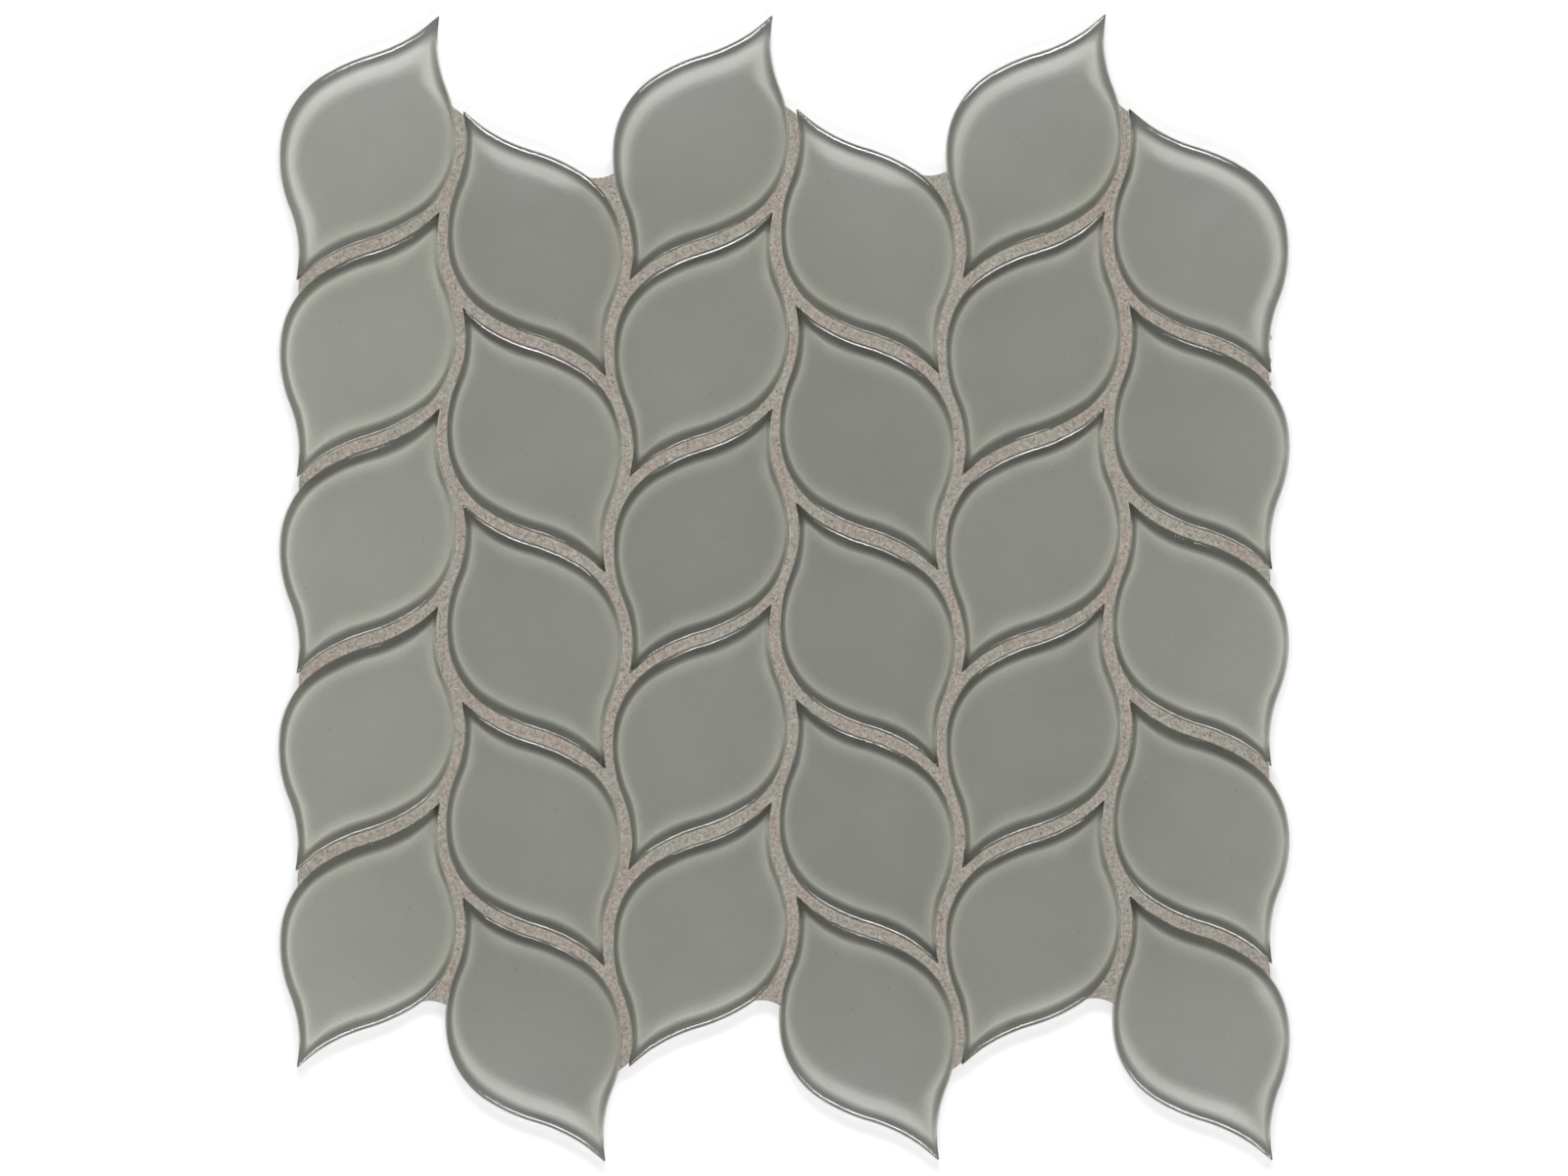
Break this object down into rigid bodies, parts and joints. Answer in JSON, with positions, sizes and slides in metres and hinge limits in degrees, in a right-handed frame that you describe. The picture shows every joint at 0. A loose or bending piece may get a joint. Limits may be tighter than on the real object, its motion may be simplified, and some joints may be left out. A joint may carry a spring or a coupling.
{
  "type": "glass mosaic tile sheet",
  "caption": "Interlocking leaf-shaped glass mosaic tiles, grouted into one sheet on a net backing, for facing a wall.",
  "frame": {"origin": "middle of the sheet's outline, on its back face", "axes": "+Z out of the polished faces, +Y along the leaf columns towards the top of the sheet, +X across the columns"},
  "size_m": [0.2612, 0.2971, 0.0084],
  "materials": {
    "painted_glass": "fire-polished clear glass with grey paint on its back",
    "sanded_grout": "sanded cement grout, matt",
    "glass_fibre_net": "white open net in dried glue"
  },
  "bodies": {
    "root": {"leaf_tile_c1_r1": "painted_glass", "leaf_tile_c1_r2": "painted_glass", "leaf_tile_c1_r3": "painted_glass", "leaf_tile_c1_r4": "painted_glass", "leaf_tile_c1_r5": "painted_glass", "leaf_tile_c2_r1": "painted_glass", "leaf_tile_c2_r2": "painted_glass", "leaf_tile_c2_r3": "painted_glass", "leaf_tile_c2_r4": "painted_glass", "leaf_tile_c2_r5": "painted_glass", "leaf_tile_c3_r1": "painted_glass", "leaf_tile_c3_r2": "painted_glass", "leaf_tile_c3_r3": "painted_glass", "leaf_tile_c3_r4": "painted_glass", "leaf_tile_c3_r5": "painted_glass", "leaf_tile_c4_r1": "painted_glass", "leaf_tile_c4_r2": "painted_glass", "leaf_tile_c4_r3": "painted_glass", "leaf_tile_c4_r4": "painted_glass", "leaf_tile_c4_r5": "painted_glass", "leaf_tile_c5_r1": "painted_glass", "leaf_tile_c5_r2": "painted_glass", "leaf_tile_c5_r3": "painted_glass", "leaf_tile_c5_r4": "painted_glass", "leaf_tile_c5_r5": "painted_glass", "leaf_tile_c6_r1": "painted_glass", "leaf_tile_c6_r2": "painted_glass", "leaf_tile_c6_r3": "painted_glass", "leaf_tile_c6_r4": "painted_glass", "leaf_tile_c6_r5": "painted_glass", "grout": "sanded_grout", "mesh_backing": "glass_fibre_net"}
  },
  "joints": []
}
